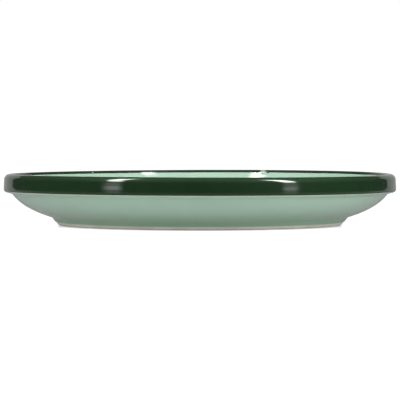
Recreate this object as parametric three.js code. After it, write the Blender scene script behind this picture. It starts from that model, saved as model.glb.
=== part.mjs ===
// Plant saucer: a round stoneware dish with a thick dark green collar, a pale green bowl and a bare
// clay foot ring. One section is drawn from the middle of the underside, round the foot, up the
// outside, over the crest and back to the middle of the floor. The clay is that section turned about
// the middle, and each coat of glaze is a skin of even thickness on its own stretch of it.
// Millimetres, +Z up. The origin is on the table, at the middle of the foot ring.

import * as THREE from 'three';

// Overall size, over the glaze
const OUTER_DIAMETER = 200; // to the collar's lower corner, before it is rounded
const HEIGHT = 26.2; // table to crest

// Collar, the thick band at the rim. These sizes and all below are the clay's, under the glaze
const COLLAR_DEPTH = 8.4; // crest to lower corner
const COLLAR_LEAN = 0.45; // how much further in its face is at the crest
const COLLAR_OVERHANG = 4.2; // how far it stands out past the bowl
const COLLAR_UNDERCUT = 1.2; // how far its underside drops towards the bowl
const COLLAR_CORNER_ROUND = 1.1;
const NECK_ROUND = 1.5; // where its underside meets the bowl
const RIM_WIDTH = 3.9; // across the crest
const CREST_OUTER_ROUND = 2.2;
const CREST_INNER_ROUND = 1.7;

// Bowl
const BOWL_SWELL = 3.8; // pull down and out from the straight line between foot and collar
const BOWL_SWELL_PLACE = 0.64; // share of the way from foot to collar at which that pull acts
const WALL = 4.4;
const FLOOR = 4.3;
const FLOOR_EDGE_ROUND = 15; // where the floor meets the wall

// Foot ring
const FOOT_DIAMETER = 144.2; // outside, where it stands
const FOOT_HEIGHT = 4.2; // table to the start of the bowl
const FOOT_FLARE = 3.3; // how much further out it is at that height
const FOOT_JOIN_ROUND = 1.9; // where it meets the bowl
const FOOT_WIDTH = 5; // its standing face, before its edges are rounded
const FOOT_EDGE_ROUND = 0.5;
const RECESS_DEPTH = 3.3; // hollow inside the ring
const RECESS_LEAN = 2; // how much narrower the hollow is at its roof
const RECESS_ROUND = 1.5;

// Glaze
const GLAZE = 0.3; // thickness of every coat
const DARK_LAP_INSIDE = 1.2; // how far the dark coat goes down inside, from the crest
const DARK_EDGE_RISE = 0.2; // its lower edge, above the collar's lower corner
const BARE_STRIP_OUTSIDE = 1.95; // height of bare clay outside the foot
const BARE_STRIP_INSIDE = 1; // and inside it

// Fineness
const SIDES_ROUND = 60;
const BOWL_STEPS = 5;
const LIP_STEPS = 2;
const CORNER_STEP_DEGREES = 30;
const SAME_POINT = 0.001;

const CLAY_COLOUR = '#cfc8b4';
const PALE_GLAZE_COLOUR = '#a9cdb6';
const DARK_GLAZE_COLOUR = '#1c3b20';
const CLAY_ROUGHNESS = 0.85;
const GLAZE_ROUGHNESS = 0.12;

const clayRadius = OUTER_DIAMETER / 2 - GLAZE;
const clayTop = HEIGHT - GLAZE;
const collarBottom = clayTop - COLLAR_DEPTH;
const crestOuterRadius = clayRadius - COLLAR_LEAN;
const footRadius = FOOT_DIAMETER / 2;
const floorTop = RECESS_DEPTH + FLOOR;

// A corner of the section: how far out and how high it is, and the radius that rounds it
function corner(radius, height, round = 0) {
  return { point: new THREE.Vector2(radius, height), round };
}

// Lengths that the rounding of a corner takes from the two sides that meet there
function roundingReach(corners, index) {
  const { point, round } = corners[index];
  if (round === 0) return { reach: 0, turn: 0 };
  const arriving = point.clone().sub(corners[index - 1].point);
  const leaving = corners[index + 1].point.clone().sub(point);
  const turn = Math.atan2(arriving.cross(leaving), arriving.dot(leaving));
  return { reach: round * Math.tan(Math.abs(turn) / 2), turn };
}

// The section's corners, rounded. Two roundings that meet on a short side share its length.
function roundedSection(corners) {
  const wanted = corners.map((_, index) => roundingReach(corners, index));
  const shareOfSide = (index) => {
    const length = corners[index].point.distanceTo(corners[index + 1].point);
    return Math.min(1, length / (wanted[index].reach + wanted[index + 1].reach));
  };
  const points = [];
  corners.forEach(({ point, round }, index) => {
    const { reach, turn } = wanted[index];
    if (reach === 0) {
      points.push(point);
      return;
    }
    const share = Math.min(shareOfSide(index - 1), shareOfSide(index));
    const back = corners[index - 1].point.clone().sub(point).setLength(reach * share);
    const side = Math.sign(turn);
    const towardsCentre = new THREE.Vector2(back.y, -back.x).setLength(side * round * share);
    const start = point.clone().add(back);
    const centre = start.clone().add(towardsCentre);
    const fromAngle = Math.atan2(start.y - centre.y, start.x - centre.x);
    const steps = Math.ceil(Math.abs(turn) / THREE.MathUtils.degToRad(CORNER_STEP_DEGREES));
    const radius = round * share;
    const arc = new THREE.EllipseCurve(
      centre.x, centre.y, radius, radius, fromAngle, fromAngle + turn, turn < 0);
    points.push(...arc.getPoints(steps));
  });
  return points.filter((point, index) => index === 0 || point.distanceTo(points[index - 1]) > SAME_POINT);
}

// The bowl in section, from its low edge up: the outside curves from the foot to the collar, and the
// inside keeps the wall's thickness from it. The inside runs on straight towards the middle, to where
// the floor cuts it.
function bowlWall() {
  const foot = new THREE.Vector2(footRadius + FOOT_FLARE, FOOT_HEIGHT);
  const neck = new THREE.Vector2(clayRadius - COLLAR_OVERHANG, collarBottom - COLLAR_UNDERCUT);
  const chord = neck.clone().sub(foot);
  const downAndOut = new THREE.Vector2(chord.y, -chord.x).normalize();
  const pull = foot.clone().addScaledVector(chord, BOWL_SWELL_PLACE).addScaledVector(downAndOut, BOWL_SWELL);
  const curve = new THREE.QuadraticBezierCurve(foot, pull, neck);
  const outside = curve.getPoints(BOWL_STEPS);
  const inside = outside.map((point, step) => {
    const along = curve.getTangent(step / BOWL_STEPS);
    return point.clone().add(new THREE.Vector2(-along.y, along.x).multiplyScalar(WALL));
  });
  const start = curve.getTangent(0);
  const underFloor = new THREE.Vector2(0, inside[0].y - (inside[0].x * start.y) / start.x);
  inside.unshift(underFloor);
  const floorEdge = markHeight(inside, 0, floorTop, true);
  return { outside, inside: inside.slice(floorEdge), upTheWall: curve.getTangent(1) };
}

// The inside of the lip: it carries on from the wall and bends up to the crest
function lipCurve(wallTop, upTheWall, crest) {
  const bend = wallTop.clone().addScaledVector(upTheWall, (crest.y - wallTop.y) / 2);
  return new THREE.QuadraticBezierCurve(crest, bend, wallTop).getPoints(LIP_STEPS);
}

// The clay's section, from the middle of the underside to the middle of the floor
function claySection() {
  const { outside, inside, upTheWall } = bowlWall();
  const foot = outside.at(0);
  const neck = outside.at(-1);
  const floorEdge = inside.at(0);
  const crestInner = new THREE.Vector2(crestOuterRadius - RIM_WIDTH, clayTop);
  const lip = lipCurve(inside.at(-1), upTheWall, crestInner);
  const ringInnerRadius = footRadius - FOOT_WIDTH;
  const plain = (points) => points.map(({ x, y }) => corner(x, y));
  return roundedSection([
    corner(0, RECESS_DEPTH),
    corner(ringInnerRadius - RECESS_LEAN, RECESS_DEPTH, RECESS_ROUND),
    corner(ringInnerRadius, 0, FOOT_EDGE_ROUND),
    corner(footRadius, 0, FOOT_EDGE_ROUND),
    corner(foot.x, foot.y, FOOT_JOIN_ROUND),
    ...plain(outside.slice(1, -1)),
    corner(neck.x, neck.y, NECK_ROUND),
    corner(clayRadius, collarBottom, COLLAR_CORNER_ROUND),
    corner(crestOuterRadius, clayTop, CREST_OUTER_ROUND),
    corner(crestInner.x, crestInner.y, CREST_INNER_ROUND),
    ...plain(lip.slice(1)),
    ...plain(inside.slice(1, -1).reverse()),
    corner(floorEdge.x, floorEdge.y, FLOOR_EDGE_ROUND),
    corner(0, floorTop),
  ]);
}

// Adds the point where the section crosses a height on its way up or down, and gives its index
function markHeight(section, start, height, goingUp) {
  const crosses = (from, to) => (goingUp
    ? from.y < height && to.y >= height
    : from.y > height && to.y <= height);
  let index = start;
  while (!crosses(section[index], section[index + 1])) index += 1;
  const from = section[index];
  const to = section[index + 1];
  if (to.y !== height) {
    section.splice(index + 1, 0, from.clone().lerp(to, (height - from.y) / (to.y - from.y)));
  }
  return index + 1;
}

// The way out of the solid on the side from one point of the section to the next
function sideNormal(from, to) {
  return new THREE.Vector2(to.y - from.y, from.x - to.x).normalize();
}

// The section moved outwards by the glaze's thickness, so that every side keeps that distance
function glazedSection(section) {
  const last = section.length - 1;
  return section.map((point, index) => {
    const before = sideNormal(section[Math.max(index - 1, 0)], section[Math.max(index, 1)]);
    const after = sideNormal(section[Math.min(index, last - 1)], section[Math.min(index + 1, last)]);
    const outwards = before.clone().add(after).normalize();
    return point.clone().addScaledVector(outwards, GLAZE / outwards.dot(before));
  });
}

const clay = claySection();
const recessGlazeEnd = markHeight(clay, 0, BARE_STRIP_INSIDE, false);
const bowlGlazeStart = markHeight(clay, recessGlazeEnd, BARE_STRIP_OUTSIDE, true);
const darkGlazeStart = markHeight(clay, bowlGlazeStart, collarBottom + DARK_EDGE_RISE, true);
const darkGlazeEnd = markHeight(clay, darkGlazeStart, clayTop - DARK_LAP_INSIDE, false);
const glazed = glazedSection(clay);

// The outer surface and the seat on the clay of the coat between two points of the section
function coat(from, to) {
  return { surface: glazed.slice(from, to + 1), seat: clay.slice(from, to + 1).reverse() };
}

function stoneware() {
  return new THREE.MeshStandardMaterial({ color: CLAY_COLOUR, roughness: CLAY_ROUGHNESS, metalness: 0 });
}

function glassyGlaze(color) {
  return new THREE.MeshStandardMaterial({ color, roughness: GLAZE_ROUGHNESS, metalness: 0 });
}

// A closed outline turned about the upright middle line
function turnedPiece(name, outline, material) {
  const geometry = new THREE.LatheGeometry(outline, SIDES_ROUND);
  geometry.rotateX(Math.PI / 2);
  const mesh = new THREE.Mesh(geometry, material);
  mesh.name = name;
  return mesh;
}

// The fired clay: bowl, collar and foot ring in one
function clayBody() {
  return turnedPiece('clay_body', clay, stoneware());
}

// The pale coat inside the foot ring, from the middle to the bare strip
function undersideGlaze() {
  const { surface, seat } = coat(0, recessGlazeEnd);
  return turnedPiece('underside_glaze', [...surface, ...seat], glassyGlaze(PALE_GLAZE_COLOUR));
}

// The pale coat outside, from the bare strip to the collar
function outerGlaze() {
  const { surface, seat } = coat(bowlGlazeStart, darkGlazeStart);
  return turnedPiece('outer_glaze', [...surface, ...seat, surface[0]], glassyGlaze(PALE_GLAZE_COLOUR));
}

// The dark coat on the collar, over the crest and a little way down inside
function rimGlaze() {
  const { surface, seat } = coat(darkGlazeStart, darkGlazeEnd);
  return turnedPiece('rim_glaze', [...surface, ...seat, surface[0]], glassyGlaze(DARK_GLAZE_COLOUR));
}

// The pale coat inside, from the dark one to the middle of the floor
function innerGlaze() {
  const { surface, seat } = coat(darkGlazeEnd, clay.length - 1);
  return turnedPiece('inner_glaze', [...seat, ...surface], glassyGlaze(PALE_GLAZE_COLOUR));
}

const saucer = new THREE.Group();
saucer.name = 'plant_saucer';
saucer.add(clayBody(), undersideGlaze(), outerGlaze(), rimGlaze(), innerGlaze());

export default saucer;
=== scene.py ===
"""A round glazed stoneware plant saucer on a pale table, in soft studio light.

The saucer is one fired clay body with four coats of glaze. Every piece is an outline turned about the
upright middle line. Lengths are in metres, +Z is up, and the origin is on the table, at the middle of
the foot ring.
"""

import logging
import math
from dataclasses import dataclass, field
from enum import Enum
from typing import ClassVar

import bpy
from bpy.types import Material, Mesh, Node, NodeSocket, NodeTree, Object
from mathutils import Matrix, Vector


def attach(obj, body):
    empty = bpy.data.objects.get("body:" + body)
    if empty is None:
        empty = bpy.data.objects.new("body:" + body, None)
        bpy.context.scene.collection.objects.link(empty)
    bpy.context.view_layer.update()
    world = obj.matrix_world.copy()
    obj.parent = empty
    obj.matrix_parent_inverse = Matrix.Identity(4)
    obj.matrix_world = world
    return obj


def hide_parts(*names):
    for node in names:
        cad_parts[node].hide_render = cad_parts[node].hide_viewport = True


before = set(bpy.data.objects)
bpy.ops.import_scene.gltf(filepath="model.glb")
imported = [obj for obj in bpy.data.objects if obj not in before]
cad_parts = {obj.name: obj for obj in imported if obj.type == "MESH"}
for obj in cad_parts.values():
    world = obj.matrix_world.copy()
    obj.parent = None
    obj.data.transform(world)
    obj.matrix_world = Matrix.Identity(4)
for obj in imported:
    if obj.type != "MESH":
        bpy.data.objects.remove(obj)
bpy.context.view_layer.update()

log = logging.getLogger("plant_saucer")

MM = 0.001
BODY = "root"

# Fineness of the turned pieces
SIDES_ROUND = 256
BOWL_STEPS = 36
LIP_STEPS = 10
FACE_STEPS = 24
FACE_CLEAR = 7
CORNER_STEP = math.radians(6)
LONGEST_SIDE = 1.5 * MM
BORDER_SIDE = 0.16 * MM
BORDER_REACH = 2.4 * MM
SAME_POINT = 0.001 * MM
CREASE = math.radians(38)

# How far a bend gathers glaze along the wall, and the turn that gathers it fully
POOL_REACH = 0.9 * MM
POOL_END = 3
POOL_FULL_TURN = 1.1

# Noise is even about its middle, and it hardly ever passes its top
NOISE_MIDDLE = 0.5
NOISE_TOP = 0.8

# Fineness of the studio
FLOOR_SIDES = 96
BACKDROP_SIDES = 24


class Slot(Enum):
    """Material slots of the saucer's record."""

    STONEWARE = "stoneware"
    PALE_GLAZE = "pale_green_glaze"
    DARK_GLAZE = "dark_green_glaze"


class Border(Enum):
    """Where a coat of glaze begins or ends on the clay: how freely the border wanders, from 0 to 1,
    and whether the coat thins out there in a rounded lip on bare clay.
    """

    RECESS_END = (0.8, True)
    BOWL_START = (0.45, True)
    DARK_START = (0.12, False)
    DARK_END = (1.0, False)

    def __init__(self, sway: float, rolled: bool) -> None:
        """Keeps what the border's value says."""
        self.sway = sway
        self.rolled = rolled


@dataclass(frozen=True)
class SaucerSizes:
    """Driving sizes of the saucer, in metres, apart from the place of the bowl's swell, which is a share
    of the wall's length. Those from the collar on are the clay's, under the glaze.
    """

    outer_diameter: float = 199.98 * MM
    height: float = 26.18 * MM
    collar_depth: float = 8.4 * MM
    collar_lean: float = 0.45 * MM
    collar_belly: float = 0.06 * MM
    collar_overhang: float = 4.2 * MM
    collar_undercut: float = 1.2 * MM
    collar_corner_round: float = 1.3 * MM
    neck_round: float = 1.5 * MM
    rim_width: float = 3.9 * MM
    crest_outer_round: float = 2.5 * MM
    crest_inner_round: float = 1.7 * MM
    bowl_swell: float = 3.8 * MM
    bowl_swell_place: float = 0.64
    wall: float = 4.4 * MM
    floor: float = 4.3 * MM
    floor_edge_round: float = 15 * MM
    foot_diameter: float = 144.2 * MM
    foot_height: float = 4.2 * MM
    foot_flare: float = 3.3 * MM
    foot_join_round: float = 1.9 * MM
    foot_width: float = 5 * MM
    foot_edge_round: float = 0.35 * MM
    recess_depth: float = 3.3 * MM
    recess_lean: float = 2 * MM
    recess_round: float = 1.5 * MM
    glaze: float = 0.3 * MM
    dark_lap_inside: float = 1.2 * MM
    dark_edge_rise: float = 0.2 * MM
    bare_strip_outside: float = 1.7 * MM
    bare_strip_inside: float = 1 * MM

    @property
    def clay_radius(self) -> float:
        """Radius of the clay at the collar's lower corner."""
        return self.outer_diameter / 2 - self.glaze

    @property
    def clay_top(self) -> float:
        """Height of the clay at the crest."""
        return self.height - self.glaze

    @property
    def collar_bottom(self) -> float:
        """Height of the collar's lower corner."""
        return self.clay_top - self.collar_depth

    @property
    def foot_radius(self) -> float:
        """Radius of the foot ring's outside, where it stands."""
        return self.foot_diameter / 2

    @property
    def floor_top(self) -> float:
        """Height of the clay floor inside the bowl."""
        return self.recess_depth + self.floor


@dataclass(frozen=True)
class Corner:
    """A corner of the section and the radius that rounds it."""

    point: Vector
    round: float = 0.0


def quadratic_curve(start: Vector, pull: Vector, end: Vector, steps: int) -> list[Vector]:
    """Draws a curve that leaves its start towards a pull point and arrives at its end from there.

    Args:
        start: First point.
        pull: Point that the curve bends towards.
        end: Last point.
        steps: Number of sides.

    Returns:
        The curve's points, both ends included.
    """
    points = []
    for step in range(steps + 1):
        share = step / steps
        points.append(start * (1 - share) ** 2 + pull * 2 * share * (1 - share) + end * share**2)
    return points


def mark_height(points: list[Vector], start: int, height: float, going_up: bool) -> int:
    """Adds the point where a line of points crosses a height.

    Args:
        points: The line, which gains the point.
        start: Index to look on from.
        height: Height of the crossing.
        going_up: Whether the line rises there.

    Returns:
        Index of the point at that height.
    """
    way = 1 if going_up else -1
    index = start
    while not (points[index].y * way < height * way <= points[index + 1].y * way):
        index += 1
    before, after = points[index], points[index + 1]
    if after.y != height:
        share = (height - before.y) / (after.y - before.y)
        points.insert(index + 1, before.lerp(after, share))
    return index + 1


def turn_at(corners: list[Corner], index: int) -> float:
    """Finds how far the outline turns at a corner.

    Args:
        corners: The outline's corners.
        index: The corner's place among them.

    Returns:
        The angle, positive to the left.
    """
    arriving = corners[index].point - corners[index - 1].point
    leaving = corners[index + 1].point - corners[index].point
    cross = arriving.x * leaving.y - arriving.y * leaving.x
    return math.atan2(cross, arriving.dot(leaving))


def rounded_section(corners: list[Corner]) -> list[Vector]:
    """Rounds the corners of a section. Two roundings on a short side share its length.

    Args:
        corners: The section's corners in order.

    Returns:
        The points of the rounded section.
    """
    turns = [turn_at(corners, index) if corner.round else 0.0 for index, corner in enumerate(corners)]
    reaches = [corner.round * math.tan(abs(turn) / 2) for corner, turn in zip(corners, turns)]
    shares = []
    for index in range(len(corners) - 1):
        length = (corners[index + 1].point - corners[index].point).length
        shares.append(min(1.0, length / max(reaches[index] + reaches[index + 1], SAME_POINT)))

    points = []
    for index, corner in enumerate(corners):
        if reaches[index] == 0:
            points.append(corner.point.copy())
            continue
        share = min(shares[index - 1], shares[index])
        back = (corners[index - 1].point - corner.point).normalized()
        start = corner.point + back * reaches[index] * share
        radius = corner.round * share
        centre = start + Vector((back.y, -back.x)) * math.copysign(radius, turns[index])
        spoke = start - centre
        from_angle = math.atan2(spoke.y, spoke.x)
        steps = max(1, math.ceil(abs(turns[index]) / CORNER_STEP))
        for step in range(steps + 1):
            angle = from_angle + turns[index] * step / steps
            points.append(centre + Vector((math.cos(angle), math.sin(angle))) * radius)

    kept = points[:1]
    for point in points[1:]:
        if (point - kept[-1]).length > SAME_POINT:
            kept.append(point)
    return kept


def divided(points: list[Vector], borders: list[Vector]) -> list[Vector]:
    """Divides the long sides of a line of points, finely near the glaze borders.

    Args:
        points: The line's points.
        borders: Points of the line at which a coat begins or ends.

    Returns:
        The line with more points. It keeps all that it had.
    """
    result = [points[0]]
    for before, after in zip(points, points[1:]):
        length = (after - before).length
        coarse = max(1, math.ceil(length / LONGEST_SIDE))
        for part in range(coarse):
            start = before.lerp(after, part / coarse)
            end = before.lerp(after, (part + 1) / coarse) if part + 1 < coarse else after
            near = min((start.lerp(end, 0.5) - border).length for border in borders) < BORDER_REACH
            steps = math.ceil((end - start).length / BORDER_SIDE) if near else 1
            result.extend(start.lerp(end, step / steps) for step in range(1, steps))
            result.append(end)
    return result


class ClaySection:
    """The clay's outline, from the middle of the underside round the outside to the middle of the floor."""

    def __init__(self, sizes: SaucerSizes) -> None:
        """Draws the outline and finds the borders of the glaze on it.

        Args:
            sizes: The saucer's driving sizes.
        """
        self.sizes = sizes
        points = self._outline()
        crossings = {
            Border.RECESS_END: (sizes.bare_strip_inside, False),
            Border.BOWL_START: (sizes.bare_strip_outside, True),
            Border.DARK_START: (sizes.collar_bottom + sizes.dark_edge_rise, True),
            Border.DARK_END: (sizes.clay_top - sizes.dark_lap_inside, False),
        }
        marks = []
        index = 0
        for height, going_up in crossings.values():
            index = mark_height(points, index, height, going_up)
            marks.append(points[index])
        self.points = divided(points, marks)
        places = [next(i for i, point in enumerate(self.points) if point is mark) for mark in marks]
        self.borders = dict(zip(crossings, places))
        self.last = len(self.points) - 1
        self.distances = self._distances()
        self.outwards = self._outwards()
        self.pools = self._pools()

    def _outline(self) -> list[Vector]:
        """Draws the corners of the section and rounds them.

        Returns:
            The outline's points, each with its distance from the middle line and its height.
        """
        sizes = self.sizes
        outside, inside, up_the_wall = self._bowl_wall()
        crest_outer = Vector((sizes.clay_radius - sizes.collar_lean, sizes.clay_top))
        crest_inner = crest_outer - Vector((sizes.rim_width, 0))
        collar_corner = Vector((sizes.clay_radius, sizes.collar_bottom))
        face_middle = collar_corner.lerp(crest_outer, 0.5) + Vector((sizes.collar_belly * 2, 0))
        face = quadratic_curve(collar_corner, face_middle, crest_outer, FACE_STEPS)
        bend = inside[-1] + up_the_wall * ((crest_inner.y - inside[-1].y) / 2)
        lip = quadratic_curve(crest_inner, bend, inside[-1], LIP_STEPS)
        ring_inner = sizes.foot_radius - sizes.foot_width
        corners = [
            Corner(Vector((0, sizes.recess_depth))),
            Corner(Vector((ring_inner - sizes.recess_lean, sizes.recess_depth)), sizes.recess_round),
            Corner(Vector((ring_inner, 0)), sizes.foot_edge_round),
            Corner(Vector((sizes.foot_radius, 0)), sizes.foot_edge_round),
            Corner(outside[0], sizes.foot_join_round),
            *(Corner(point) for point in outside[1:-1]),
            Corner(outside[-1], sizes.neck_round),
            Corner(collar_corner, sizes.collar_corner_round),
            *(Corner(point) for point in face[FACE_CLEAR:-FACE_CLEAR]),
            Corner(crest_outer, sizes.crest_outer_round),
            Corner(crest_inner, sizes.crest_inner_round),
            *(Corner(point) for point in lip[1:]),
            *(Corner(point) for point in reversed(inside[1:-1])),
            Corner(inside[0], sizes.floor_edge_round),
            Corner(Vector((0, sizes.floor_top))),
        ]
        return rounded_section(corners)

    def _bowl_wall(self) -> tuple[list[Vector], list[Vector], Vector]:
        """Draws both sides of the bowl's wall.

        Returns:
            The outside and the inside from the low edge up, and the way the wall runs at its top.
        """
        sizes = self.sizes
        foot = Vector((sizes.foot_radius + sizes.foot_flare, sizes.foot_height))
        neck_radius = sizes.clay_radius - sizes.collar_overhang
        neck = Vector((neck_radius, sizes.collar_bottom - sizes.collar_undercut))
        chord = neck - foot
        down_and_out = Vector((chord.y, -chord.x)).normalized()
        pull = foot + chord * sizes.bowl_swell_place + down_and_out * sizes.bowl_swell
        outside = quadratic_curve(foot, pull, neck, BOWL_STEPS)
        inside = []
        for step, point in enumerate(outside):
            share = step / BOWL_STEPS
            along = ((pull - foot) * (1 - share) + (neck - pull) * share).normalized()
            inside.append(point + Vector((-along.y, along.x)) * sizes.wall)
        start = (pull - foot).normalized()
        under_floor = Vector((0, inside[0].y - inside[0].x * start.y / start.x))
        inside.insert(0, under_floor)
        floor_edge = mark_height(inside, 0, sizes.floor_top, going_up=True)
        return outside, inside[floor_edge:], (neck - pull).normalized()

    def _distances(self) -> list[float]:
        """Measures the outline.

        Returns:
            How far along it each point lies.
        """
        distances = [0.0]
        for before, after in zip(self.points, self.points[1:]):
            distances.append(distances[-1] + (after - before).length)
        return distances

    def _side_normal(self, index: int) -> Vector:
        """Returns the way out of the clay on the side that leaves a point."""
        side = self.points[index + 1] - self.points[index]
        return Vector((side.y, -side.x)).normalized()

    def _outwards(self) -> list[Vector]:
        """Finds the way out of the clay at each point.

        Returns:
            One vector for each point, as long as keeps the sides of a moved outline parallel.
        """
        ways = []
        for index in range(len(self.points)):
            before = self._side_normal(max(index, 1) - 1)
            after = self._side_normal(min(index, self.last - 1))
            middle = (before + after).normalized()
            ways.append(middle / middle.dot(before))
        return ways

    def along(self, index: int) -> Vector:
        """Returns the way the outline runs on at a point."""
        out = self.outwards[index].normalized()
        return Vector((-out.y, out.x))

    def gap(self, index: int, border: Border) -> float:
        """Returns how far along the outline a place is from a border."""
        return abs(self.distances[index] - self.distances[self.borders[border]])

    def _pools(self) -> list[float]:
        """Works out where melted glaze gathers, from how sharply the outline bends.

        Returns:
            A value for each point, from -1 on a sharp edge to 1 in a tight hollow.
        """
        turns = [0.0] * len(self.points)
        for index in range(1, self.last):
            before, after = self._side_normal(index - 1), self._side_normal(index)
            turns[index] = math.atan2(before.x * after.y - before.y * after.x, before.dot(after))
        pools = []
        for place in self.distances:
            bend = 0.0
            for other, turn in zip(self.distances, turns):
                away = (other - place) / POOL_REACH
                if turn and abs(away) < POOL_END:
                    bend += turn * math.exp(-away * away / 2)
            pools.append(max(-1.0, min(1.0, -bend / POOL_FULL_TURN)))
        return pools


def colour(code: str) -> tuple[float, float, float, float]:
    """Turns a colour as a screen shows it into light values.

    Args:
        code: Six hexadecimal digits after a hash sign.

    Returns:
        Red, green, blue and full opacity.
    """
    channels = []
    for start in (1, 3, 5):
        shown = int(code[start : start + 2], 16) / 255
        low = shown <= 0.04045
        channels.append(shown / 12.92 if low else ((shown + 0.055) / 1.055) ** 2.4)
    return (*channels, 1.0)


def grey(level: float) -> tuple[float, float, float, float]:
    """Returns a grey of a light value from 0 to 1."""
    return (level, level, level, 1.0)


def in_use(sockets: bpy.types.bpy_prop_collection) -> list[NodeSocket]:
    """Returns the sockets that a node has in use with its present settings."""
    return [socket for socket in sockets if socket.enabled]


class NodeBoard:
    """Adds and joins the nodes of one tree."""

    STEP = 190

    def __init__(self, tree: NodeTree) -> None:
        """Keeps the tree to work on and empties it."""
        self.tree = tree
        self.tree.nodes.clear()

    def add(self, kind: str, settings: dict | None = None, inputs: dict | None = None) -> Node:
        """Adds a node and fills its sockets.

        Args:
            kind: The node's type.
            settings: Properties to set on the node.
            inputs: A plain value, or the socket that feeds it, for each input by name or index.

        Returns:
            The new node.
        """
        node = self.tree.nodes.new(kind)
        node.location = (self.STEP * len(self.tree.nodes), 0)
        for name, value in (settings or {}).items():
            setattr(node, name, value)
        for key, value in (inputs or {}).items():
            self.feed(node.inputs[key], value)
        return node

    def feed(self, socket: NodeSocket, value: object) -> None:
        """Joins another socket to an input, or sets the input's own value.

        Args:
            socket: The input.
            value: An output socket, or a plain value.
        """
        if isinstance(value, NodeSocket):
            self.tree.links.new(value, socket)
        else:
            socket.default_value = value

    def result(self, kind: str, settings: dict, *values: object) -> NodeSocket:
        """Adds a node and feeds the inputs that its settings leave in use, in order.

        Args:
            kind: The node's type.
            settings: Properties to set on the node.
            *values: A plain value, or the socket that feeds it, for each input.

        Returns:
            The socket of its first result.
        """
        node = self.add(kind, settings)
        for socket, value in zip(in_use(node.inputs), values):
            self.feed(socket, value)
        return in_use(node.outputs)[0]

    def math(self, operation: str, *values: object, clamp: bool = False) -> NodeSocket:
        """Returns the result of a Math node, kept between 0 and 1 if clamp is set."""
        return self.result("ShaderNodeMath", {"operation": operation, "use_clamp": clamp}, *values)

    def times(self, product: object, *factors: object) -> NodeSocket:
        """Returns the product of some values."""
        for factor in factors:
            product = self.math("MULTIPLY", product, factor)
        return product

    def vector(self, operation: str, *values: object) -> NodeSocket:
        """Returns the result of a Vector Math node."""
        return self.result("ShaderNodeVectorMath", {"operation": operation}, *values)

    def joined(self, x: object, y: object, z: object) -> NodeSocket:
        """Returns a vector of three parts."""
        return self.add("ShaderNodeCombineXYZ", inputs={0: x, 1: y, 2: z}).outputs[0]

    def parts(self, vector: NodeSocket) -> bpy.types.bpy_prop_collection:
        """Returns the X, Y and Z of a vector."""
        return self.add("ShaderNodeSeparateXYZ", inputs={"Vector": vector}).outputs

    def mix(self, share: object, first: object, second: object, kind: str = "RGBA") -> NodeSocket:
        """Returns a mix of two colours, or of two values if the kind is FLOAT."""
        return self.result("ShaderNodeMix", {"data_type": kind}, share, first, second)

    def stain(self, share: object, tone: object, code: str) -> NodeSocket:
        """Returns a colour with a share of another over it."""
        return self.mix(share, tone, colour(code))

    def noise(self, place: object, scale: object, detail: float, roughness: float = 0.5) -> NodeSocket:
        """Returns a cloudy value that changes with the place."""
        inputs = {"Vector": place, "Scale": scale, "Detail": detail, "Roughness": roughness}
        return self.add("ShaderNodeTexNoise", inputs=inputs).outputs[0]

    def ramp(
        self, value: object, low: float, high: float, start: object = 0.0, end: object = 1.0
    ) -> NodeSocket:
        """Adds a smooth change from one value to another.

        Args:
            value: What the change follows.
            low: Value at which it begins.
            high: Value at which it is complete.
            start: Result at the low end.
            end: Result at the high end.

        Returns:
            The result's socket.
        """
        settings = {"interpolation_type": "SMOOTHSTEP", "clamp": True}
        inputs = {"Value": value, 1: low, 2: high, 3: start, 4: end}
        return self.add("ShaderNodeMapRange", settings, inputs).outputs["Result"]

    def effect(self, group: NodeTree, **values: object) -> NodeSocket:
        """Returns the result of a shared effect, given its inputs by name."""
        return self.add("ShaderNodeGroup", {"node_tree": group}, values).outputs[0]

    def rays(self, *kinds: str) -> NodeSocket:
        """Tells rays of the named kinds from all others.

        Args:
            *kinds: Outputs of the Light Path node.

        Returns:
            The socket of a mask, 1 for those rays.
        """
        paths = self.add("ShaderNodeLightPath").outputs
        mask = paths[kinds[0]]
        for kind in kinds[1:]:
            mask = self.math("MAXIMUM", mask, paths[kind])
        return mask

    def glow(self, strength: object) -> NodeSocket:
        """Returns a white glow."""
        return self.add("ShaderNodeEmission", inputs={"Strength": strength}).outputs[0]

    def choice(self, share: object, first: NodeSocket, second: NodeSocket) -> NodeSocket:
        """Returns a mix of two shaders."""
        return self.add("ShaderNodeMixShader", inputs={0: share, 1: first, 2: second}).outputs[0]


class MaterialBoard(NodeBoard):
    """The nodes of a new material."""

    def __init__(self, name: str) -> None:
        """Opens the material, with nothing in it."""
        self.material = bpy.data.materials.new(name)
        self.material.use_nodes = True
        super().__init__(self.material.node_tree)

    def place(self) -> NodeSocket:
        """Returns where the surface is, in the object's own space."""
        return self.add("ShaderNodeTexCoord").outputs["Object"]

    def carried(self, name: str) -> NodeSocket:
        """Returns a value that the mesh carries."""
        return self.add("ShaderNodeAttribute", {"attribute_name": name}).outputs["Fac"]

    def facing(self, height: NodeSocket, strength: float) -> NodeSocket:
        """Returns the way the surface faces with a relief on it."""
        inputs = {"Strength": strength, "Distance": 1.0, "Height": height}
        return self.add("ShaderNodeBump", inputs=inputs).outputs[0]

    def close(self, surface: NodeSocket) -> Material:
        """Joins the surface to the material's end and returns the material."""
        self.add("ShaderNodeOutputMaterial", inputs={"Surface": surface})
        return self.material


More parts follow.
